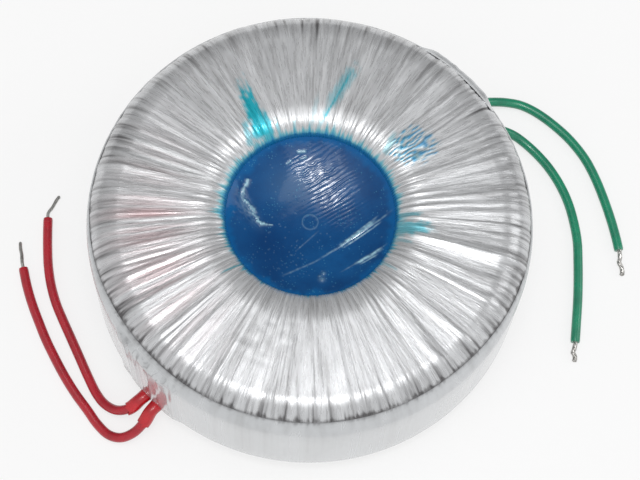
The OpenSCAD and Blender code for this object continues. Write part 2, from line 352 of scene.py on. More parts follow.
def resin_look():
    """Deep blue glossy resin under a thin wrinkled skin, with specks in it, a painted reflection of a soft
    light, and highlights painted along its streaks and flake.
    """
    look = Look("blue_resin", (0.004, 0.07, 0.23), 0.12, specular=0.28)
    place = look.place()
    cloud = look.noise(place, 90.0, 4.0, 0.6)
    tone = look.ramp(cloud, (0.35, (0.002, 0.052, 0.18)), (0.65, (0.005, 0.082, 0.25)))
    # painted reflection of a soft light: lighter blue at the upper left of the middle
    tone = look.mix(look.attribute("soft_light_reflection"), tone, (0.05, 0.13, 0.27))
    # darker blue towards the lower left of the disc
    tone = look.mix(look.attribute("depth"), tone, (0.001, 0.035, 0.14))
    tone = look.mix(look.attribute("rim"), tone, (0.0, 0.105, 0.31))
    dots = look.node("ShaderNodeTexVoronoi")
    dots.inputs["Scale"].default_value = 1300.0
    look.link(place, dots.inputs["Vector"])
    specks = look.ramp(dots.outputs["Distance"], (0.14, 1.0), (0.26, 0.0))
    patchy = look.ramp(look.noise(place, 240.0, 2.0, 0.5), (0.5, 0.0), (0.62, 0.45))
    specks = look.math("MULTIPLY", specks, patchy)
    tone = look.mix(specks, tone, (0.08, 0.34, 0.5))
    # pale: lighter bubbles, flap and ring mark, and highlights painted along the streaks and the flake
    tone = look.mix(look.attribute("pale"), tone, (0.4, 0.68, 0.78))
    look.color(tone)
    gloss = look.math("ADD", look.math("MULTIPLY", look.attribute("gloss"), 0.9), 0.24)
    look.link(gloss, look.shader.inputs["Specular IOR Level"])
    skin = look.math("ADD", look.noise(place, 260.0, 3.0, 0.5), look.math("MULTIPLY", specks, 0.3))
    look.bump(skin, 0.0003, 0.35)
    return look.material


def plastic_look(name, color, dark):
    """Lead insulation and sleeves: smooth plastic with faint unevenness."""
    look = Look(name, color, 0.28, coat=0.4)
    place = look.place()
    cloud = look.noise(place, 220.0, 3.0, 0.6)
    look.color(look.mix(look.ramp(cloud, (0.35, 0.0), (0.75, 1.0)), color, dark))
    look.roughness(look.ramp(cloud, (0.3, 0.22), (0.7, 0.4)))
    look.bump(look.noise(place, 700.0, 3.0, 0.5), 0.0001, 0.25)
    return look.material


def metal_look(name, color, dark, scale, roughness=0.3):
    """Bare metal with stains and fine unevenness."""
    look = Look(name, color, roughness, metallic=1.0)
    place = look.place()
    cloud = look.noise(place, scale, 4.0, 0.6)
    look.color(look.mix(look.ramp(cloud, (0.35, 0.0), (0.7, 1.0)), color, dark))
    look.roughness(look.ramp(cloud, (0.3, roughness * 0.7), (0.7, roughness * 1.5)))
    look.bump(look.noise(place, scale * 4, 2.0, 0.5), 0.0001, 0.3)
    return look.material


def wound_look(name, color, dark):
    """Enamelled wire or tape inside the film, hidden at rest."""
    look = Look(name, color, 0.35, coat=0.3)
    cloud = look.noise(look.place(), 300.0, 3.0, 0.6)
    look.color(look.mix(look.ramp(cloud, (0.35, 0.0), (0.7, 1.0)), color, dark))
    return look.material


# ---------- The pleated film ----------

def section_line():
    """The film's section, from the hole over the top, down the wall and under to the hole:
    radius, height above the middle, the way out, and its half: 1 on top, -1 under, else 0."""
    shoulder_r = HOLE_R + SHOULDER_W
    shoulder_z = HALF - PLEAT_H - SHOULDER_H
    edge_r = WALL_R - EDGE_R
    edge_z = HALF - PLEAT_H - CROWN_FALL - EDGE_R

    def half(hole_n, top_n, edge_n):
        rows = []
        for a in np.linspace(180, 90, hole_n, endpoint=False):
            rows.append((shoulder_r + SHOULDER_W * math.cos(math.radians(a)),
                         shoulder_z + SHOULDER_H * math.sin(math.radians(a)), a))
        for t in np.linspace(0, 1, top_n, endpoint=False):
            rows.append((shoulder_r + (edge_r - shoulder_r) * t,
                         shoulder_z + SHOULDER_H - CROWN_FALL * t * t, 90))
        for a in np.linspace(90, 12, edge_n):
            rows.append((edge_r + EDGE_R * math.cos(math.radians(a)),
                         edge_z + EDGE_R * math.sin(math.radians(a)), a))
        return rows

    top = half(15, 16, 26)
    under = half(7, 7, 10)
    rows = [(r, z, a, 1) for r, z, a in top]
    rows += [(WALL_R, z, 0, 0) for z in (edge_z * 0.7, -edge_z * 0.7)]
    rows += [(r, -z, -a, -1) for r, z, a in reversed(under)]
    rows.append((HOLE_R, 0, 180, 0))
    r, z, a, half_no = np.array(rows, dtype=float).T
    return r, z, np.radians(a), half_no


def rim_angle(theta):
    """How far up the outer edge the band reaches, in degrees: lower on the far side."""
    lower = 26 * smooth(np.sin(theta), -0.8, 0.1)
    higher = 3 * smooth(-np.cos(theta), 0.5, 1.0)
    return BAND_EDGE_A - lower + higher


def rim_ticks(theta):
    """How far the painted shade of the serrated fold at the rim reaches in each direction, from 0 to 1."""
    reach = np.random.default_rng(17).uniform(0, 1, TICK_COUNT) ** 3
    return np.interp(theta, np.arange(TICK_COUNT) * 2 * np.pi / TICK_COUNT, reach, period=2 * np.pi)


def pleat_fields(theta, share, seed, folds, fines):
    """Height of the pleats, and the shade painted into their creases, over angles theta and share,
    0 at the hole and 1 at the rim line. Long folds run in from the rim, fine ones out from the
    hole, and flat facets lie between overlapping edges."""
    random = np.random.default_rng(seed)
    height = np.zeros((len(theta), len(share)))
    dark = np.zeros_like(height)
    edges = np.sort(random.uniform(0, 2 * np.pi, folds // 3))
    sector = np.searchsorted(edges, theta) % len(edges)
    width = (edges[sector] - edges[sector - 1]) % (2 * np.pi)
    local = wrapped(theta - edges[sector - 1]) % (2 * np.pi) / width - 0.5
    tilt = random.uniform(-1, 1, len(edges))[sector] * np.minimum(width * 9, 1)
    height += 0.95 * (tilt * local)[:, None] * smooth(share, 0.12, 0.6)[None, :]
    for k in range(folds):
        at = (k + random.uniform(-0.4, 0.4)) * 2 * np.pi / folds
        lean = random.normal(0, 0.02)
        wide = random.uniform(0.6, 2.0) / RIM_R
        start = random.uniform(-0.2, 0.8)
        tall = random.uniform(0.05, 0.5)
        away = wrapped(theta[:, None] - at - lean * (share[None, :] - 1)) / wide
        grow = smooth(share, start, start + random.uniform(0.3, 0.7))[None, :]
        height += tall * grow * (bell(away) - 0.6 * bell((away - 1.1) / 0.5))
        # painted shade in the valley beside each fold, towards the rim
        line = smooth(share, random.uniform(0.35, 0.85), 1.0)[None, :]
        dark += random.uniform(0.1, 0.7) * line * bell((away - 1.1) / 0.3)
    for k in range(folds * 2):
        at = random.uniform(0, 2 * np.pi)
        lean = random.normal(0, 0.015)
        start = 1 - random.exponential(0.16) - 0.05
        away = wrapped(theta[:, None] - at - lean * (share[None, :] - 1)) * RIM_R
        stroke = bell(away / random.uniform(0.2, 0.34)) * smooth(share, start, 1.0)[None, :]
        # painted shade in a thin crease dipping in from the rim
        dark += random.uniform(0.15, 0.8) * stroke
        height -= 0.25 * stroke
    for k in range(fines):
        at = (k + random.uniform(-0.4, 0.4)) * 2 * np.pi / fines
        wide = random.uniform(0.35, 0.6) / FINE_R
        end = random.uniform(0.2, 0.6)
        away = wrapped(theta[:, None] - at) / wide
        fade = (1 - smooth(share, 0.08, end))[None, :]
        height += random.uniform(0.15, 0.6) * fade * bell(away)
        # painted shade in the valleys beside the fine pleats at the hole
        line = bell((away - 1.2) / 0.5) * smooth(share, 0.0, 0.1)
        dark += random.uniform(0.0, 0.35) * fade * line
    for count in range(5, 40):
        shift = random.uniform(0, 2 * np.pi)
        swell = random.normal(0, 0.05) * np.cos(count * theta + shift)
        height += swell[:, None] * smooth(share, 0.1, 0.5)
    return height, dark


def smear(x, y, start, end, widths, seed):
    """A ragged smear from start to end, tapering from one width to the other."""
    (ax, ay), (bx, by) = start, end
    length = math.hypot(bx - ax, by - ay)
    along = ((x - ax) * (bx - ax) + (y - ay) * (by - ay)) / length ** 2
    away = ((x - ax) * (by - ay) - (y - ay) * (bx - ax)) / length
    width = widths[0] + (widths[1] - widths[0]) * np.clip(along, 0, 1)
    ragged = waves(x, y, seed, 14, 0.7, 3.0)
    body = 1 - smooth(np.abs(away) / width + 0.13 * ragged, 0.5, 1.15)
    return body * smooth(along, -0.08, 0.03) * (1 - smooth(along + 0.07 * ragged, 0.7, 1.05))


def film_stains(theta, share, x, y):
    """Blue ink and teal dye that crept out of the resin, a patch of inked creases, and a painted
    reflection of the red leads: pink on the top face over their side."""
    random = np.random.default_rng(5)
    count = 330
    spikes = np.minimum(random.exponential(1.0, count), 4)
    spikes = np.interp(theta, np.arange(count) * 2 * np.pi / count, spikes, period=2 * np.pi)
    swell = 1 + 0.35 * np.cos(theta - math.radians(110)) + 0.3 * np.cos(2 * theta)
    reach = np.clip((0.024 + 0.02 * spikes) * np.maximum(swell, 0.5), 0.02, 0.16)
    ratio = share[None, :] / reach[:, None]
    ink = 0.85 * (1 - smooth(ratio, 0.15, 0.65))
    dye = 0.8 * (1 - smooth(ratio, 0.5, 1.3))
    smears = [  # from, to, half widths at both, strength
        ((-14.6, 20.4), (-21.4, 35.4), (2.9, 1.7), 1.0),
        ((-12.0, 19.0), (-15.6, 28.4), (2.2, 1.0), 0.9),
        ((-17.4, 17.6), (-20.2, 24.6), (1.1, 0.6), 0.6),
        ((-9.6, 20.8), (-11.6, 26.0), (0.7, 0.35), 0.55),
        ((-5.6, 22.4), (-6.6, 27.0), (0.5, 0.3), 0.4),
        ((0.2, 24.0), (4.8, 34.6), (0.7, 1.2), 0.35),
        ((3.2, 31.0), (9.2, 42.8), (1.9, 2.1), 0.5),
        ((1.8, 27.0), (8.9, 42.2), (0.35, 0.5), 0.9),
        ((-1.6, 24.2), (-0.6, 33.0), (0.5, 0.9), 0.22),
        ((22.6, -2.6), (32.6, -2.8), (2.7, 1.6), 0.75),
        ((22.8, 0.6), (29.6, 1.4), (1.0, 0.5), 0.6),
        ((22.8, -6.0), (27.4, -7.0), (0.7, 0.4), 0.4),
        ((19.6, -12.4), (23.6, -15.0), (0.6, 0.3), 0.35),
        ((-16.4, -15.6), (-22.8, -20.0), (0.35, 0.25), 0.7),
        ((18.6, 18.0), (21.4, 23.6), (0.9, 1.6), 0.45)]
    for k, (start, end, widths, strength) in enumerate(smears):
        dye = np.maximum(dye, strength * smear(x, y, start, end, widths, 60 + k))
    slant = math.radians(24)
    u = (x - 26.4) * math.cos(slant) + (y - 20.6) * math.sin(slant)
    v = (y - 20.6) * math.cos(slant) - (x - 26.4) * math.sin(slant)
    ragged = 0.12 * waves(x, y, 80, 12, 1.0, 4.0)
    patch = 1 - smooth(np.hypot(u / 6.4, v / 5.4) + ragged, 0.75, 1.05)
    lines = 0.5 + 0.5 * np.sin(v * 4.4 + 2.2 * waves(x, y, 81, 10, 3.0, 9.0))
    creased = patch * lines
    dye = np.maximum(dye, creased * (0.5 + 0.35 * smooth(-u, -3, 4)))
    ink = np.maximum(ink, 0.7 * patch * smooth(lines, 0.55, 0.95))
    # painted reflection of the red leads: pink on the top face over their side
    away = wrapped(theta - math.radians(-162))
    streaked = 0.6 + 0.4 * waves(theta * 24, np.zeros_like(theta), 83, 16, 0.5, 3.0)
    red_reflection_and_showthrough = np.clip(0.5 * bell(away / 0.5) * streaked, 0, 1)[:, None]
    red_reflection_and_showthrough = red_reflection_and_showthrough * bell((share[None, :] - 0.6) / 0.3)
    return dye, ink, red_reflection_and_showthrough, creased


def polar_coordinates(theta, along):
    """Noise coordinates that run quickly round the ring and slowly along its section."""
    across = 24.0
    grid = np.empty((len(theta), len(along), 3))
    grid[..., 0] = across * np.cos(theta)[:, None]
    grid[..., 1] = across * np.sin(theta)[:, None]
    grid[..., 2] = along[None, :]
    return grid


def film_lining(steps, sides):
    """The wrap's inside, a rounded box section swept round the axis."""
    turn = np.arange(steps) * 2 * np.pi / steps
    around = np.arange(sides) * 2 * np.pi / sides
    wide = (WALL_R - HOLE_R) / 2 - 1
    tall = (HALF - PLEAT_H - 1) * 0.93
    power = 0.45
    radius = (HOLE_R + WALL_R) / 2 + wide * np.sign(np.cos(around)) * np.abs(np.cos(around)) ** power
    level = HALF + tall * np.sign(np.sin(around)) * np.abs(np.sin(around)) ** power
    return np.stack([radius * np.cos(turn)[:, None], radius * np.sin(turn)[:, None],
                     np.broadcast_to(level, (steps, sides))], axis=-1).reshape(-1, 3)


def make_film(material):
    """The wrap's outside with all its pleats, and a plain lining inside it."""
    r, z, a, half_no = section_line()
    theta = np.arange(THETA_STEPS) * 2 * np.pi / THETA_STEPS
    share = np.clip((r - HOLE_R) / (RIM_R - HOLE_R), 0, 1.1)
    height = np.zeros((len(theta), len(r)))
    dark = np.zeros_like(height)
    for side, seed, folds, fines in ((1, 3, 120, 165), (-1, 4, 100, 110)):
        rows = np.flatnonzero(half_no == side)
        height[:, rows], dark[:, rows] = pleat_fields(theta, share[rows], seed, folds, fines)
    x = r[None, :] * np.cos(theta)[:, None]
    y = r[None, :] * np.sin(theta)[:, None]
    only_top = (half_no == 1)[None, :]
    dye, ink, red_reflection_and_showthrough, creased = film_stains(theta, share, x, y)
    height += 0.6 * creased * only_top
    ladder = 2 * bell((x + 9) / 7) * bell((y + 37) / 7) * only_top
    height += 0.16 * ladder * np.sin(r * 2.6 + 1.5 * waves(x, y, 91, 10, 4.0, 12.0))
    latitude = np.abs(np.degrees(a))
    edge = np.where(half_no[None, :] == 1, rim_angle(theta)[:, None], BAND_EDGE_A)
    tuck = np.where(half_no[None, :] == 0, 0, smooth(latitude[None, :], edge - 2, edge + 4))
    span = PLEAT_PEAK + PLEAT_DIP
    middle = (PLEAT_PEAK - PLEAT_DIP) / 2
    soft = span / (1 + np.exp(-(height - middle) * 4 / span)) - PLEAT_DIP  # levels off at both ends
    rise = soft / PLEAT_PEAK * PLEAT_H * tuck * smooth(share, 0.0, 0.03)[None, :]
    radius = r[None, :] + rise * np.cos(a)[None, :]
    points = np.stack([radius * np.cos(theta)[:, None], radius * np.sin(theta)[:, None],
                       z[None, :] + rise * np.sin(a)[None, :] + HALF], axis=-1)
    # painted shade: a dark serrated line where the film folds over the outer edge, added to the shade
    # painted into the creases
    ticks = rim_ticks(theta)[:, None]
    rim = 1 - smooth(latitude[None, :], edge + 1 + 4 * ticks, edge + 5 + 12 * ticks)
    rim = rim * ((half_no != 0) & (share > 0.5))[None, :]
    depth = 0.66 + 0.12 * waves(theta * RIM_R, np.zeros_like(theta), 19, 14, 4.0, 30.0)[:, None]
    dark = np.clip(dark * tuck * 0.85 + rim * depth, 0, 0.92)

    lining_steps, lining_sides = 96, 20
    lining = film_lining(lining_steps, lining_sides)
    outer_n = points.shape[0] * points.shape[1]
    faces = np.vstack([ring_faces(THETA_STEPS, len(r)),
                       ring_faces(lining_steps, lining_sides, outer_n)])
    film = mesh_object("film_skin", np.vstack([points.reshape(-1, 3), lining]), faces, material)
    rest = np.zeros(len(lining))
    along = np.cumsum(np.hypot(np.diff(r, prepend=r[0]), np.diff(z, prepend=z[0]))) * 0.06
    add_vector(film, "polar", np.vstack([polar_coordinates(theta, along).reshape(-1, 3),
                                         np.zeros((len(lining), 3))]))
    for name, values in (("crease_shade", dark), ("dye", dye * only_top), ("ink", ink * only_top),
                         ("red_reflection_and_showthrough", red_reflection_and_showthrough * only_top)):
        add_float(film, name, np.concatenate([values.ravel(), rest]))
    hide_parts("film_wrap")


# ---------- Film band and patches on the side wall ----------

def wall_shell(name, theta, latitude, lift, thick, material, closed):
    """A shell on the side wall. latitude runs from the bottom edge to the top one in degrees,
    lift is how far its outside stands off the pleated film, and thick how thick it is."""
    edge_r = WALL_R - EDGE_R
    edge_z = HALF - PLEAT_H - CROWN_FALL - EDGE_R
    a = np.radians(np.broadcast_to(latitude, (len(theta), np.shape(latitude)[-1])))
    straight = np.clip(a / math.radians(STRAIGHT_A), -1, 1)

    def surface(off):
        radius = edge_r + (EDGE_R + off) * np.cos(a)
        level = HALF + straight * edge_z + (EDGE_R + off) * np.sin(a)
        return np.stack([radius * np.cos(theta)[:, None], radius * np.sin(theta)[:, None], level],
                        axis=-1)

    outer = surface(lift)
    inner = surface(lift - thick)[:, ::-1]
    loops = np.concatenate([outer, inner], axis=1)
    n = loops.shape[1]
    faces = list(ring_faces(len(theta), n, flip=True))
    if not closed:
        faces = [f for f in faces if abs(int(f[0]) // n - int(f[2]) // n) <= 1]
        faces.append(list(range(n)))
        faces.append(list(range((len(theta) - 1) * n, len(theta) * n))[::-1])
    return mesh_object(name, loops.reshape(-1, 3), faces, material)


def wall_latitudes(edge, count):
    """Steps from the bottom edge to the top one, with a few across the straight wall."""
    bend = np.linspace(STRAIGHT_A, edge, count)
    return np.concatenate([-bend[::-1], [-3, 0, 3], bend])


def make_band(material):
    """The band round the side wall. Its top edge follows rim_angle and its edges thin out."""
    steps = 960
    theta = np.arange(steps) * 2 * np.pi / steps
    latitude = wall_latitudes(BAND_EDGE_A, 14)
    upper = latitude > STRAIGHT_A
    bent = latitude[None, :] * np.where(upper, rim_angle(theta)[:, None] / BAND_EDGE_A, 1)
    lowest = STRAIGHT_A + (latitude - STRAIGHT_A) * 0.2
    bent = np.where(upper, np.maximum(bent, lowest), bent)
    random = np.random.default_rng(21)
    ripple = np.zeros(steps)
    for count in range(6, 140):
        size = random.normal(0, 0.35 / math.sqrt(count))
        ripple += size * np.cos(count * theta + random.uniform(0, 6.28))
    edge = smooth(np.abs(latitude), 20, BAND_EDGE_A)[None, :]
    thin = 1 - 0.7 * smooth(np.abs(latitude), BAND_EDGE_A - 9, BAND_EDGE_A)[None, :]
    lift = np.clip(BAND_LIFT + 0.05 * ripple[:, None] * (0.4 + edge), 0.2, 0.75) * thin
    band = wall_shell("film_band_skin", theta, bent, lift, BAND_THICK * thin, material, True)
    both = np.concatenate([latitude, latitude[::-1]])
    # painted shade along the band's top edge, where the film folds over the rim
    reach = BAND_EDGE_A - 1 - 4 * rim_ticks(theta)[:, None]
    crease_shade = 0.55 * smooth(np.abs(both)[None, :], reach - 3, reach + 3)
    along = np.interp(both, [-BAND_EDGE_A, BAND_EDGE_A], [0, 1.5])
    add_vector(band, "polar", polar_coordinates(theta, along))
    add_float(band, "crease_shade", crease_shade)
    add_float(band, "red_reflection_and_showthrough", np.zeros((steps, len(both))))
    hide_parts("film_band")


def make_patch(name, node, middle, span, tall, crumple, humps, material):
    """A patch of film over the exits of a pair of leads, swelling over what runs under it.
    Its edges sink into the band."""
    steps = 150
    turn = np.linspace(-0.5, 0.5, steps)
    theta = np.radians(middle + span * turn)
    latitude = wall_latitudes(PATCH_EDGE_A, 14)
    fade = 1 - smooth(np.abs(turn), 0.3, 0.48)[:, None]
    fade = fade * (1 - smooth(np.abs(latitude), 20, 34))[None, :]
    across = theta[:, None] * WALL_R
    up = latitude[None, :] * 0.35
    swell = np.zeros((steps, len(latitude)))
    for at, low in humps:
        swell += bell(wrapped(theta - math.radians(at)) * WALL_R / 2.2)[:, None] * (
            1 - smooth(latitude, low, low + 30))[None, :]
    folds = 1 - np.abs(waves(across, up, len(node), 9, 5.0, 16.0))
    fine = 1 - np.abs(waves(across, up * 0.5, len(node) + 1, 9, 2.5, 7.0))
    lift = 0.3 + fade * (0.35 + tall * (0.7 + 0.5 * swell) + crumple * (folds + 0.5 * fine))
    lift = np.maximum(lift, 0.25)
    patch = wall_shell(name, theta, latitude, lift, 0.15, material, False)
    both = np.concatenate([latitude, latitude[::-1]])
    along = np.interp(both, [-PATCH_EDGE_A, PATCH_EDGE_A], [0, 1.2])
    add_vector(patch, "polar", polar_coordinates(theta, along))
    # painted shade along the patch's fine fold lines
    dark = smooth(fine, 0.75, 1.0) * 0.5 * fade * (crumple > 0.1)
    add_float(patch, "crease_shade", np.concatenate([dark, dark[:, ::-1]], axis=1))
    # pink where the red sleeve shows through the patch's film
    red_reflection_and_showthrough = np.zeros((steps, len(latitude)))
    for at, low in humps:
        if crumple > 0.1:
            narrow = wrapped(theta - math.radians(at + 1.0)) * WALL_R / 1.9
            window = smooth(latitude, -34, -20) * (1 - smooth(latitude, -3, 14))
            red_reflection_and_showthrough = np.maximum(red_reflection_and_showthrough, 0.4 * bell(narrow)[:, None] * window[None, :])
    add_float(patch, "red_reflection_and_showthrough", np.concatenate([red_reflection_and_showthrough, red_reflection_and_showthrough[:, ::-1]], axis=1))
    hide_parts(node)


# ---------- Resin ----------

def ridge(x, y, ax, ay, bx, by, width):
    """A line from a to b: 1 on it, fading across it, and tapering at its ends."""
    along = ((x - ax) * (bx - ax) + (y - ay) * (by - ay)) / ((bx - ax) ** 2 + (by - ay) ** 2)
    away = np.hypot(x - ax - along * (bx - ax), y - ay - along * (by - ay))
    return bell(away / width) * smooth(along, 0, 0.25) * (1 - smooth(along, 0.75, 1))


def resin_surface(x, y):
    """Height of the resin's wrinkled skin, how pale it is, with highlights painted along its streaks and
    flake, and how glossy it is, at x and y.
    """
    random = np.random.default_rng(31)
    r = np.hypot(x, y)
    level = RESIN_EDGE_Z - DISH_DEPTH * (1 - np.minimum(r / HOLE_R, 1) ** DISH_POWER)
    inside = 1 - smooth(r, HOLE_R - 1.5, HOLE_R)
    level += 0.05 * inside * waves(x, y, 41, 14, 6.0, 15.0)
    pale = np.zeros_like(x)

    slant = math.radians(33)
    u = x * math.cos(slant) + y * math.sin(slant)
    v = y * math.cos(slant) - x * math.sin(slant)
    fan = bell((u - 10.5) / 6.5) * bell((v - 6.5) / 8.0) * inside
    heap = bell((x - 0.5) / 6.0) * bell((y - 14.5) / 3.6) * inside
    warp = 1.2 * waves(u, v, 42, 12, 5.0, 14.0) + 1.6 * heap * waves(u, v, 44, 12, 2.5, 6.0)
    crest = 1 - 2 * np.abs(np.sin(v * np.pi / 1.15 + warp / 2))
    creased = np.maximum(fan, heap)
    level += 0.13 * creased * crest * np.clip(0.8 + 0.4 * waves(u, v, 43, 12, 2.0, 7.0), 0.1, 1.6)

    bends = [(-17.4, 9.2), (-18.9, 5.8), (-17.8, 3.6), (-15.8, 2.4), (-15.0, 0.0),
             (-13.6, -1.5), (-12.4, -2.2), (-9.8, -2.0)]
    rough = catmull(bends, 4)
    rough += random.normal(0, 0.32, rough.shape)
    flake = np.zeros_like(x)
    for (ax, ay), (bx, by) in zip(rough, rough[1:]):
        size = random.uniform(0.4, 1.0)
        flake = np.maximum(flake, size * ridge(x, y, ax - (bx - ax) * 0.4, ay - (by - ay) * 0.4,
                                               bx + (bx - ax) * 0.4, by + (by - ay) * 0.4,
                                               random.uniform(0.25, 0.75)))
    fu = (x + 16.8) * 0.6 - (y - 1.4) * 0.8
    fv = (x + 16.8) * 0.8 + (y - 1.4) * 0.6
    flap = bell(fu / 4.2) * bell(fv / 1.5) * (1 - 0.4 * np.abs(waves(x, y, 45, 9, 1.2, 4.0)))
    level += 0.45 * flake + 0.25 * flap
    # painted highlight on the flake's raised edge; the flap is a lighter patch
    pale += 0.9 * flake ** 2 + 0.2 * flap
    gloss = np.maximum(np.maximum(creased, 0.6 * flap), flake)

    streaks = [  # from x, y, to x, y, width, height, paleness: a painted highlight along the streak
        (-7.0, -17.3, 4.0, -10.4, 0.22, 0.06, 0.18), (1.0, -12.4, 22.8, 4.2, 0.24, 0.1, 0.35),
        (7.6, -7.2, 18.0, 1.4, 0.42, 0.2, 0.8), (8.6, -7.6, 19.6, 0.8, 0.2, 0.12, 0.65),
        (10.5, -4.2, 18.5, 2.5, 0.2, 0.08, 0.3), (8.4, -15.0, 21.6, -5.8, 0.2, 0.06, 0.22),
        (12.4, -12.2, 20.2, -7.2, 0.42, 0.2, 0.85), (13.6, -12.4, 19.0, -9.0, 0.2, 0.1, 0.5),
        (-3.6, -9.2, 2.9, -1.9, 0.16, 0.04, 0.1), (-5.2, 18.4, -2.2, 19.0, 0.35, 0.18, 0.8),
        (-7.8, 14.9, -6.1, 16.5, 0.22, 0.1, 0.55), (-4.4, 16.6, -2.0, 17.6, 0.25, 0.15, 0.5)]
    for ax, ay, bx, by, width, tall, light in streaks:
        line = ridge(x, y, ax, ay, bx, by, width)
        level += tall * line
        # painted highlight along the streak
        pale += light * line * (0.75 + 0.25 * waves(x, y, 46, 12, 0.8, 3.0))
        gloss = np.maximum(gloss, line)

    for k in range(150):
        at, out = random.uniform(0, 2 * np.pi), HOLE_R * math.sqrt(random.uniform(0.02, 0.9))
        bx, by = out * math.cos(at), out * math.sin(at)
        if k % 2:
            bx, by = random.normal((-7, -12), 4)
        spot = bell(np.hypot(x - bx, y - by) / random.uniform(0.1, 0.2)) * inside
        level += 0.08 * spot
        pale += 0.12 * spot
    for bx, by, size in ((4.3, -17.0, 0.8), (4.6, -15.1, 0.55), (3.6, -16.0, 0.35)):
        drop = bell(np.hypot(x - bx, y - by) / size)
        level += 0.5 * drop
        pale += 0.2 * drop
        gloss = np.maximum(gloss, drop)
    ring = bell((r - 2.1) / 0.16)
    level += 0.05 * ring
    pale += 0.16 * ring
    return level, np.clip(pale, 0, 1), np.clip(gloss, 0, 1)


def make_resin(material):
    """The resin: its skin, its wall, and its flat base with the hole for the insert."""
    steps, rings = 480, 128
    theta = np.arange(steps) * 2 * np.pi / steps
    radii = HOLE_R * (np.arange(1, rings + 1) / rings) ** 0.85
    x = radii[None, :] * np.cos(theta)[:, None]
    y = radii[None, :] * np.sin(theta)[:, None]
    level, pale, gloss = resin_surface(x, y)
    top = np.stack([x, y, level], axis=-1)
    low_rings = [(HOLE_R, 0.0), (INSERT_R, 0.0), (INSERT_R, INSERT_TOP_Z)]
    low = np.stack([np.stack([q * np.cos(theta), q * np.sin(theta), np.full(steps, h)], axis=-1)
                    for q, h in low_rings], axis=1)
    rows = np.concatenate([top, low], axis=1)
    n = rows.shape[1]
    middle_level = resin_surface(np.zeros(1), np.zeros(1))[0]
    points = np.vstack([rows.reshape(-1, 3), [[0, 0, middle_level[0]]], [[0, 0, INSERT_TOP_Z]]])
    quads = ring_faces(steps, n)
    faces = quads[np.abs(quads[:, 0] % n - quads[:, 3] % n) == 1].tolist()
    top_mid, low_mid = len(points) - 2, len(points) - 1
    for k in range(steps):
        here, there = k * n, (k + 1) % steps * n
        faces.append([top_mid, here, there])
        faces.append([low_mid, there + n - 1, here + n - 1])
    resin = mesh_object("resin_pour", points, faces, material)
    ragged = 0.5 * waves(theta * 22, np.zeros_like(theta), 47, 16, 1.2, 9.0)[:, None]
    fields = {"rim": 0.85 * smooth(radii[None, :] + ragged, HOLE_R - 2.2, HOLE_R - 0.2),
              "pale": pale, "gloss": gloss,
              # painted reflection of a soft light at the upper left of the middle
              "soft_light_reflection": 0.75 * bell((x + 5.5) / 6.5) * bell((y - 9.0) / 5.5),
              # darker blue towards the lower left of the disc
              "depth": 0.8 * bell((x + 11) / 7) * bell((y + 7) / 8)}
    for name, values in fields.items():
        padded = np.concatenate([values, np.zeros((steps, len(low_rings)))], axis=1)
        add_float(resin, name, np.concatenate([padded.ravel(), [0, 0]]))
    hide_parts("resin_centre")


# ---------- Leads ----------

ROUTES = {
    "red_lead_1": [
        (-40.1, -42.7, 8.5), (-42.7, -45.5, 8.5), (-45.6, -47.7, 6.6), (-49.2, -48, 4.5),
        (-52.7, -46.2, 2.8), (-55.6, -43, 1.8), (-58.4, -38.4, 1.4), (-61.4, -33, 1.4),
        (-64.4, -27.6, 1.4), (-67.2, -22.6, 1.4), (-69.8, -17.6, 1.4), (-71.8, -12.4, 1.4),
        (-73.2, -7, 1.4), (-74, -2, 1.4), (-74.6, 3, 1.4), (-75, 7.5, 1.4)],
    "red_lead_2": [
        (-37, -45.5, 8.5), (-39.4, -48.4, 8.5), (-41.4, -51.6, 6.6), (-44, -54, 4.5),
        (-47.4, -55.2, 2.8), (-51, -54.4, 1.8), (-54.4, -51.6, 1.4), (-57.6, -47.8, 1.4),
        (-61.4, -43.4, 1.4), (-65, -38.6, 1.4), (-68.4, -33.4, 1.4), (-71.4, -28.4, 1.4),
        (-74.2, -23, 1.4), (-76.6, -18, 1.4), (-78.6, -13, 1.4), (-80.2, -8, 1.4)],
    "green_lead_1": [
        (37.7, 44.9, 8.5), (40.1, 47.8, 8.5), (42.8, 50.4, 6.6), (46.4, 52.3, 4.5),
        (50.4, 53.6, 2.8), (54.6, 54.2, 1.8), (59, 53.8, 1.4), (63.6, 51.8, 1.4),
        (68.6, 48.4, 1.4), (73.6, 44, 1.4), (78, 38.6, 1.4), (81.2, 32.8, 1.4),
        (83.8, 26.6, 1.4), (86, 20.4, 1.4), (87.6, 15, 1.4), (88.6, 10.9, 1.4)],
    "green_lead_2": [
        (43.5, 39.2, 8.5), (46.4, 41.8, 8.5), (49.8, 43.4, 6.6), (53.4, 44, 4.5),
        (57.2, 43.4, 2.8), (60.8, 41.4, 1.8), (64.4, 38.4, 1.4), (67.8, 34.6, 1.4),
        (71, 29.8, 1.4), (73.6, 24.4, 1.4), (75.4, 18.6, 1.4), (76.6, 12.6, 1.4),
        (77, 6.4, 1.4), (77.2, 0, 1.4), (77.2, -6, 1.4), (77, -12, 1.4), (76.8, -17.6, 1.4)]}
TIPS = {"red_lead_1": (-72.6, 15, 0.5), "red_lead_2": (-82.2, 0.2, 0.5),
        "green_lead_1": (89.6, 3.4, 0.7), "green_lead_2": (76.6, -23.2, 0.7)}


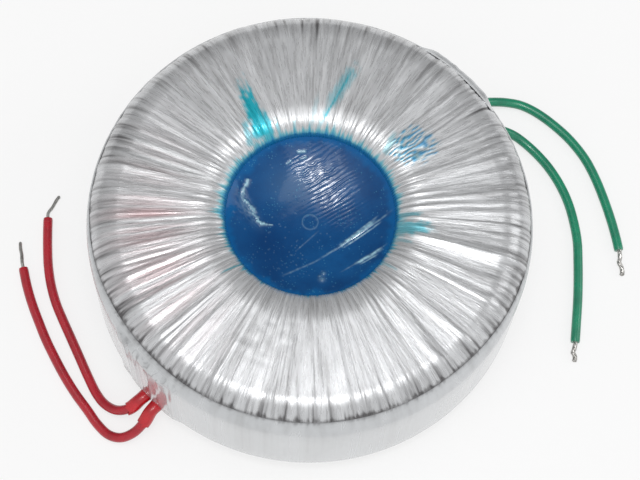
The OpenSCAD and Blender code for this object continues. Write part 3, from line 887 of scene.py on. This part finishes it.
def make_bare_end(name, node, end, ahead, tip, twisted, material):
    """A stripped end: a tinned pin, or strands twisted and tinned together."""
    radius = 0.7 if twisted else 0.5
    start, tip = end + ahead * 1.5, np.array(tip)
    side = np.cross(tip - start, [0, 0, 1])
    side *= (0.35 if twisted else 0.05) / np.linalg.norm(side)
    line = catmull([end - ahead * 0.6, start, start * 0.65 + tip * 0.35 + side,
                    start * 0.3 + tip * 0.7 - side, tip], 12)
    n = len(line)
    sides = 28
    share = np.linspace(0, 1, n)
    angle = np.arange(sides) * 2 * np.pi / sides
    random = np.random.default_rng(int(abs(tip[0]) * 10))
    taper = np.sqrt(np.clip((1 - share) / 0.06, 0.05, 1))
    if twisted:
        turn = 8.0 * share[:, None]
        lobes = 0.7 + 0.3 * np.abs(np.cos(1.5 * (angle[None, :] - turn)))
        lobes += 0.06 * smooth(share, 0.75, 1.0)[:, None]
    else:
        lobes = 1 + 0.05 * np.sin(15 * share[:, None] + angle[None, :])
    lobes = lobes * (1 + random.normal(0, 0.02, (n, 1)))
    points, faces = tube(line, radius * taper, sides, lobes)
    piece = mesh_object(name, points, faces, material)
    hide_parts(node)
    return piece


def make_sleeve(name, node, line, material):
    """A soft sleeve on the lead's first stretch, cut off ragged."""
    n, sides = len(line), 28
    angle = np.arange(sides) * 2 * np.pi / sides
    share = np.linspace(0, 1, n)
    swell = 1 + 0.03 * np.sin(9 * share[:, None] + 2 * angle[None, :])
    outer, faces = tube(line, SLEEVE_R, sides, swell)
    random = np.random.default_rng(len(name) + int(abs(line[0][0])))
    ahead = line[-1] - line[-2]
    ahead /= np.linalg.norm(ahead)
    ragged = random.uniform(-0.7, 0.9, sides)
    ragged = (ragged + np.roll(ragged, 1) * 0.6) / 1.6
    outer = outer.reshape(n, sides, 3)
    outer[-1] += ragged[:, None] * ahead[None, :]
    inner, _ = tube(line, LEAD_R + 0.03, sides)
    inner = inner.reshape(n, sides, 3)
    inner[-1] += ragged[:, None] * ahead[None, :]
    points = np.vstack([outer.reshape(-1, 3), inner.reshape(-1, 3)])
    quads = [f for f in faces if len(f) == 4]
    far = n * sides
    walls = [tuple(reversed([i + far for i in f])) for f in quads]
    ends = []
    last = (n - 1) * sides
    for i in range(sides):
        j = (i + 1) % sides
        ends.append((j, j + far, i + far, i))
        ends.append((last + i, last + i + far, last + j + far, last + j))
    piece = mesh_object(name, points, quads + walls + ends, material)
    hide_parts(node)
    return piece


def make_lead(lead, looks):
    """One lead with its sleeve and its stripped end."""
    colour, number = lead.split("_")[0], lead[-1]
    route = np.array(ROUTES[lead])
    steps = 8
    line = catmull(route, steps)
    ahead = line[-1] - line[-2]
    ahead /= np.linalg.norm(ahead)
    sides = 20
    radius = np.full(len(line), LEAD_R)
    radius[-1] *= 0.93
    points, faces = tube(line, radius, sides)
    cord = mesh_object(f"{lead}_insulation", points, faces, looks[f"{colour}_pvc"])
    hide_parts(lead)
    sleeve = make_sleeve(f"{colour}_sleeve_{number}_skin", f"{colour}_sleeve_{number}",
                         line[:2 * steps + 1], looks[f"{colour}_sleeve"])
    bare = make_bare_end(f"{colour}_wire_end_{number}", f"{colour}_bare_end_{number}",
                         line[-1], ahead, TIPS[lead], colour == "green", looks["tinned"])


# ---------- Insert thread ----------

def make_thread(material):
    """The thread in the insert's hole: a fine ridge wound inside the bore."""
    pitch, depth = 1.0, 0.3
    bore_r = 2.5
    length = 17.0
    steps = 40
    turns = length / pitch
    count = int(turns * steps)
    t = np.linspace(0, turns, count)
    rows = []
    root_r = bore_r + 0.02
    for out, shift in ((root_r, -0.3 * pitch), (bore_r - depth, 0.0), (root_r, 0.3 * pitch)):
        rows.append(np.stack([out * np.cos(2 * np.pi * t), out * np.sin(2 * np.pi * t),
                              0.5 + shift + pitch * t * (length - 1) / length], axis=-1))
    points = np.stack(rows, axis=1).reshape(-1, 3)
    faces = []
    for k in range(count - 1):
        for i in range(3):
            j = (i + 1) % 3
            faces.append((k * 3 + i, k * 3 + j, (k + 1) * 3 + j, (k + 1) * 3 + i))
    faces += [(2, 1, 0), tuple((count - 1) * 3 + i for i in range(3))]
    thread = mesh_object("insert_thread", points, faces, material)


# ---------- Floor and light ----------

def make_floor():
    """A floor just under the part's flat base. It is white to the camera and in reflections, and
    keeps the part's shadow."""
    size, low = FLOOR_SIZE, -FLOOR_DROP
    points = [(-size, -size, low), (size, -size, low), (size, size, low), (-size, size, low)]
    mesh = bpy.data.meshes.new("floor")
    mesh.from_pydata(points, [], [(0, 1, 2, 3)])
    floor = bpy.data.objects.new("floor", mesh)
    bpy.context.scene.collection.objects.link(floor)
    look = Look("floor", (0.9, 0.9, 0.9), 0.9, specular=0.1)
    path = look.node("ShaderNodeLightPath")
    seen = look.math("MAXIMUM", path.outputs["Is Camera Ray"], look.math(
        "MAXIMUM", path.outputs["Is Glossy Ray"], path.outputs["Is Transmission Ray"]))
    glow = look.node("ShaderNodeEmission")
    glow.inputs["Strength"].default_value = 1.0
    mixed = look.node("ShaderNodeMixShader")
    look.link(look.math("MULTIPLY", seen, 0.72), mixed.inputs[0])
    look.link(look.shader.outputs[0], mixed.inputs[1])
    look.link(glow.outputs[0], mixed.inputs[2])
    look.link(mixed.outputs[0], look.tree.nodes["Material Output"].inputs["Surface"])
    mesh.materials.append(look.material)


def make_lamp(name, place, target, size, power):
    data = bpy.data.lights.new(name, "AREA")
    data.shape = "RECTANGLE"
    data.size, data.size_y = size
    data.energy = power
    lamp = bpy.data.objects.new(name, data)
    lamp.location = place
    lamp.rotation_euler = (Vector(target) - Vector(place)).to_track_quat("-Z", "Y").to_euler()
    bpy.context.scene.collection.objects.link(lamp)


def make_world():
    """A plain studio: light on the near side and overhead, dimmer towards the far side."""
    world = bpy.data.worlds.new("studio")
    world.use_nodes = True
    bpy.context.scene.world = world
    tree = world.node_tree
    back = tree.nodes["Background"]
    where = tree.nodes.new("ShaderNodeTexCoord")
    split = tree.nodes.new("ShaderNodeSeparateXYZ")
    share = tree.nodes.new("ShaderNodeMapRange")
    ramp = tree.nodes.new("ShaderNodeValToRGB")
    tree.links.new(where.outputs["Generated"], split.inputs[0])
    tree.links.new(split.outputs["Y"], share.inputs["Value"])
    share.inputs["From Min"].default_value = -1.0
    tree.links.new(share.outputs["Result"], ramp.inputs["Fac"])
    tree.links.new(ramp.outputs["Color"], back.inputs["Color"])
    ramp.color_ramp.interpolation = "EASE"
    stops = ((0.0, 0.8), (0.35, 0.72), (0.56, 0.62), (0.68, 0.38), (0.8, 0.3), (1.0, 0.26))
    while len(ramp.color_ramp.elements) < len(stops):
        ramp.color_ramp.elements.new(0.5)
    for element, (at, level) in zip(ramp.color_ramp.elements, stops):
        element.position = at
        element.color = (level, level, level, 1)
    back.inputs["Strength"].default_value = 1.0


# ---------- Everything ----------

make_camera()
looks = {
    "red_pvc": plastic_look("red_pvc", (0.47, 0.007, 0.022), (0.3, 0.003, 0.012)),
    "green_pvc": plastic_look("green_pvc", (0.006, 0.27, 0.14), (0.004, 0.18, 0.1)),
    "red_sleeve": plastic_look("red_sleeve", (0.6, 0.012, 0.022), (0.36, 0.004, 0.012)),
    "green_sleeve": plastic_look("green_sleeve", (0.01, 0.34, 0.2), (0.005, 0.24, 0.13)),
    "tinned": metal_look("tinned_wire", (0.62, 0.61, 0.59), (0.3, 0.29, 0.27), 500.0),
    "brass": metal_look("insert_brass", (0.72, 0.5, 0.2), (0.45, 0.3, 0.12), 300.0),
    "steel": metal_look("core_steel", (0.4, 0.41, 0.43), (0.2, 0.2, 0.22), 200.0, 0.4),
    "copper": wound_look("enamelled_wire", (0.5, 0.2, 0.06), (0.35, 0.12, 0.03)),
    "tape": wound_look("tape", (0.75, 0.66, 0.35), (0.65, 0.55, 0.28)),
    "film": film_look(),
    "band": band_look("film_band", 0.08, 0.3),
    "patch": band_look("film_patch", 0.16, 0.1),
    "resin": resin_look(),
}
for lead in ROUTES:
    make_lead(lead, looks)
make_film(looks["film"])
make_band(looks["band"])
make_patch("red_patch_skin", "red_exit_patch", -133, 28, 0.35, 0.2, ((-133.2, -30), (-129.1, -30)),
           looks["patch"])
make_patch("green_patch_skin", "green_exit_patch", 50, 28, 0.9, 0.08, ((50, -20), (42, -20)),
           looks["band"])
make_resin(looks["resin"])
make_thread(looks["brass"])
for node, look in (("core", "steel"), ("core_tape", "tape"), ("primary_winding", "copper"),
                   ("middle_tape", "tape"), ("secondary_winding", "copper"), ("threaded_insert", "brass")):
    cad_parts[node].data.materials.clear()
    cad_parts[node].data.materials.append(looks[look])
make_floor()
make_world()
make_lamp("softbox", (0, -0.08, 0.8), (0, -0.08, 0), (0.5, 0.6), 1.25)
make_lamp("key", (0.0, -0.12, 0.9), (0, 0, 0.03), (0.2, 0.14), 1.3)
make_lamp("side", (0.75, 0.2, 0.5), (0, 0, 0.02), (0.3, 0.5), 0.8)
bpy.context.scene.view_settings.view_transform = "Standard"
